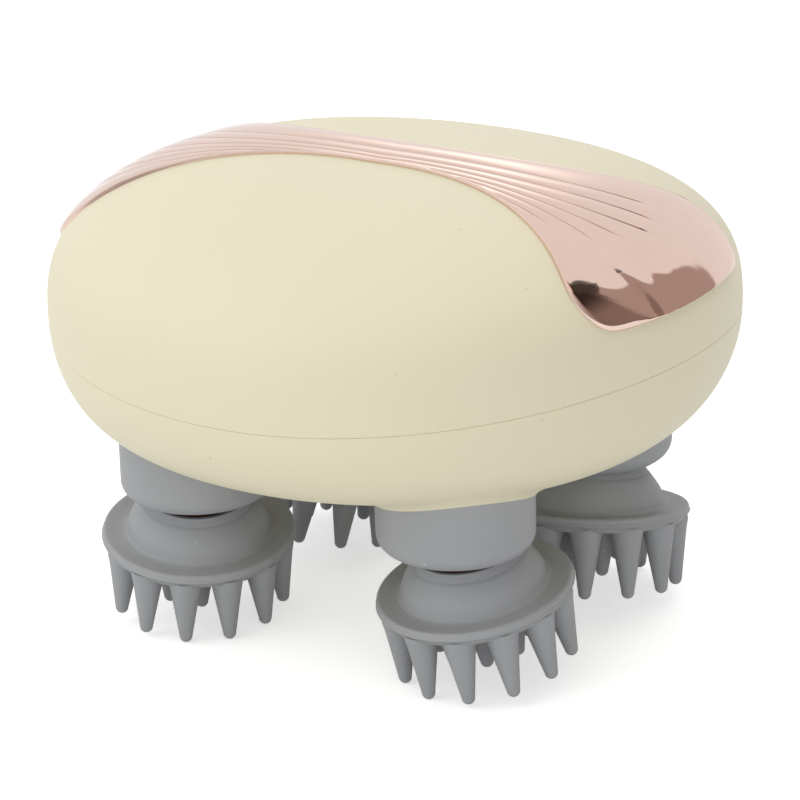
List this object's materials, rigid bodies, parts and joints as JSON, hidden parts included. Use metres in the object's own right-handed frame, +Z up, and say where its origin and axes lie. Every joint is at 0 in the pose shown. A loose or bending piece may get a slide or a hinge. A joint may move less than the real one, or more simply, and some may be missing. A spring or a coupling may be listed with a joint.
{
  "type": "electric scalp massager",
  "caption": "Hand-held domed massager with swinging finger heads under a two-part case, a worm and gear drive, a cell, boards, a power button and a charging port.",
  "frame": {"origin": "centre of the footprint of the whole object, at the height of the lowest fingertips", "axes": "+X along the trim strip towards one fan, +Y towards the power button, +Z up through the dome"},
  "size_m": [0.116, 0.1122, 0.0814],
  "materials": {
    "case_plastic": "satin moulded ABS, warm cream",
    "rose_plating": "rose-gold vacuum plating over fluted plastic",
    "grey_silicone": "matte grey silicone",
    "plug_silicone": "matte cream silicone",
    "seal_rubber": "black rubber",
    "steel": "ground steel",
    "brass": "plain brass",
    "gear_plastic": "white acetal",
    "black_plastic": "black moulded nylon",
    "brown_plastic": "dark brown moulded nylon",
    "cell_wrap": "blue shrink sleeve",
    "lead_sleeve": "red lead insulation",
    "board": "green solder mask",
    "light_pipe": "clear light pipe"
  },
  "bodies": {
    "case": {"upper_shell": "case_plastic", "lower_shell": "case_plastic", "seam_gasket": "seal_rubber", "trim_strip": "rose_plating", "front_boot": "grey_silicone", "left_boot": "grey_silicone", "right_boot": "grey_silicone", "rear_boot": "grey_silicone", "shaft_seals": "seal_rubber", "gear_tray": "gear_plastic", "gear_cover": "gear_plastic", "frame_screws": "steel", "case_screws": "steel", "shaft_bushes": "brass", "idler_axles": "steel", "motor_can": "steel", "motor_cap": "black_plastic", "motor_clamp": "steel", "worm_bracket": "gear_plastic", "battery_cell": "cell_wrap", "battery_cradle": "black_plastic", "battery_leads": "lead_sleeve", "main_board": "board", "board_parts": "black_plastic", "board_screws": "steel", "side_board": "board", "touch_switch": "black_plastic", "light_pipe": "light_pipe", "charging_socket": "steel"},
    "central": {"central_gear": "gear_plastic", "central_shaft": "steel", "worm_wheel": "brass"},
    "worm_shaft": {"worm": "brass"},
    "left_idler": {"left_idler": "gear_plastic"},
    "right_idler": {"right_idler": "gear_plastic"},
    "front_drive": {"front_drive_gear": "gear_plastic", "front_crank": "steel"},
    "front_head": {"front_hub": "brown_plastic", "front_bearing": "steel"},
    "front_claw": {"front_claw": "grey_silicone"},
    "left_drive": {"left_drive_gear": "gear_plastic", "left_crank": "steel"},
    "left_head": {"left_hub": "brown_plastic", "left_bearing": "steel"},
    "left_claw": {"left_claw": "grey_silicone"},
    "right_drive": {"right_drive_gear": "gear_plastic", "right_crank": "steel"},
    "right_head": {"right_hub": "brown_plastic", "right_bearing": "steel"},
    "right_claw": {"right_claw": "grey_silicone"},
    "rear_drive": {"rear_drive_gear": "gear_plastic", "rear_crank": "steel"},
    "rear_head": {"rear_hub": "brown_plastic", "rear_bearing": "steel"},
    "rear_claw": {"rear_claw": "grey_silicone"},
    "button": {"power_button": "case_plastic"},
    "plug": {"port_plug": "plug_silicone"}
  },
  "joints": [
    {"name": "central_spin", "type": "hinge", "parent": "case", "child": "central", "pos_m": [0, 0, 0.05532], "axis": [0, 0, 1], "continuous": true},
    {"name": "worm_spin", "type": "hinge", "parent": "case", "child": "worm_shaft", "pos_m": [0, 0.0156, 0.05742], "axis": [1, 0, 0], "continuous": true},
    {"name": "left_idler_spin", "type": "hinge", "parent": "case", "child": "left_idler", "pos_m": [-0.01185, -0.01459, 0.05532], "axis": [0, 0, 1], "continuous": true},
    {"name": "right_idler_spin", "type": "hinge", "parent": "case", "child": "right_idler", "pos_m": [0.01185, 0.01459, 0.05532], "axis": [0, 0, 1], "continuous": true},
    {"name": "front_drive_spin", "type": "hinge", "parent": "case", "child": "front_drive", "pos_m": [0.0252, -0.02342, 0.05532], "axis": [0, 0, 1], "continuous": true},
    {"name": "front_head_spin", "type": "hinge", "parent": "front_drive", "child": "front_head", "pos_m": [0.0252, -0.02342, 0.03467], "axis": [-0.0741, -0.1665, 0.9833], "continuous": true},
    {"name": "front_claw_pull", "type": "slide", "parent": "front_head", "child": "front_claw", "axis": [0.0741, 0.1665, -0.9833], "range_m": [0, 0.01]},
    {"name": "left_drive_spin", "type": "hinge", "parent": "case", "child": "left_drive", "pos_m": [-0.0252, -0.02342, 0.05532], "axis": [0, 0, 1], "continuous": true},
    {"name": "left_head_spin", "type": "hinge", "parent": "left_drive", "child": "left_head", "pos_m": [-0.0252, -0.02342, 0.03467], "axis": [0.1171, -0.1396, 0.9833], "continuous": true},
    {"name": "left_claw_pull", "type": "slide", "parent": "left_head", "child": "left_claw", "axis": [-0.1171, 0.1396, -0.9833], "range_m": [0, 0.01]},
    {"name": "right_drive_spin", "type": "hinge", "parent": "case", "child": "right_drive", "pos_m": [0.0252, 0.02342, 0.05532], "axis": [0, 0, 1], "continuous": true},
    {"name": "right_head_spin", "type": "hinge", "parent": "right_drive", "child": "right_head", "pos_m": [0.0252, 0.02342, 0.03467], "axis": [-0.0653, 0.1701, 0.9833], "continuous": true},
    {"name": "right_claw_pull", "type": "slide", "parent": "right_head", "child": "right_claw", "axis": [0.0653, -0.1701, -0.9833], "range_m": [0, 0.01]},
    {"name": "rear_drive_spin", "type": "hinge", "parent": "case", "child": "rear_drive", "pos_m": [-0.0252, 0.02342, 0.05532], "axis": [0, 0, 1], "continuous": true},
    {"name": "rear_head_spin", "type": "hinge", "parent": "rear_drive", "child": "rear_head", "pos_m": [-0.0252, 0.02342, 0.03467], "axis": [0.0741, 0.1665, 0.9833], "continuous": true},
    {"name": "rear_claw_pull", "type": "slide", "parent": "rear_head", "child": "rear_claw", "axis": [-0.0741, -0.1665, -0.9833], "range_m": [0, 0.01]},
    {"name": "button_press", "type": "slide", "parent": "case", "child": "button", "axis": [0, -1, 0], "range_m": [0, 0.0006], "stiffness_N_per_m": 800, "springref_m": -0.001},
    {"name": "plug_pull", "type": "slide", "parent": "case", "child": "plug", "axis": [0, 1, 0], "range_m": [0, 0.009]}
  ],
  "couplings": [
    {"joint": "worm_spin", "follows": "central_spin", "ratio": -40},
    {"joint": "left_idler_spin", "follows": "central_spin", "ratio": -1.1364},
    {"joint": "right_idler_spin", "follows": "central_spin", "ratio": -1.1364},
    {"joint": "front_drive_spin", "follows": "central_spin", "ratio": -1.3889},
    {"joint": "left_drive_spin", "follows": "central_spin", "ratio": 1.3889},
    {"joint": "right_drive_spin", "follows": "central_spin", "ratio": 1.3889},
    {"joint": "rear_drive_spin", "follows": "central_spin", "ratio": -1.3889}
  ]
}
